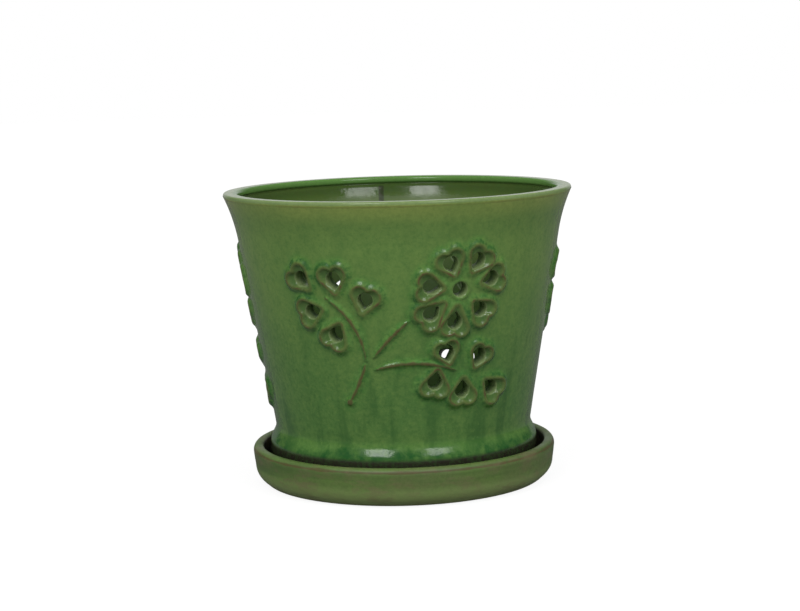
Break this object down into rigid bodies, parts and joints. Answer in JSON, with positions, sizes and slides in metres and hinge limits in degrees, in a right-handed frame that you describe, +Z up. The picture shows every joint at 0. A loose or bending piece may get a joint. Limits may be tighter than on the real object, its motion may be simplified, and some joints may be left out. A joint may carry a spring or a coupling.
{
  "type": "orchid pot",
  "caption": "Round tapered glazed orchid pot with flared lip and pierced flower-and-leaf air slots, standing loose in a shallow round saucer that catches its drips.",
  "frame": {"origin": "on the table under the middle of the saucer, in the plane of its foot ring", "axes": "+Z up along the pot's axis, -Y is the front, where the middle of one relief motif faces"},
  "size_m": [0.215, 0.215, 0.1807],
  "materials": {
    "pot_glaze": "gloss",
    "saucer_glaze": "satin"
  },
  "bodies": {
    "saucer": {"saucer": "saucer_glaze"},
    "pot": {"pot": "pot_glaze"}
  },
  "joints": [
    {"name": "pot_lift", "type": "slide", "parent": "saucer", "child": "pot", "axis": [0, 0, 1], "range_m": [0, 0.1]}
  ]
}
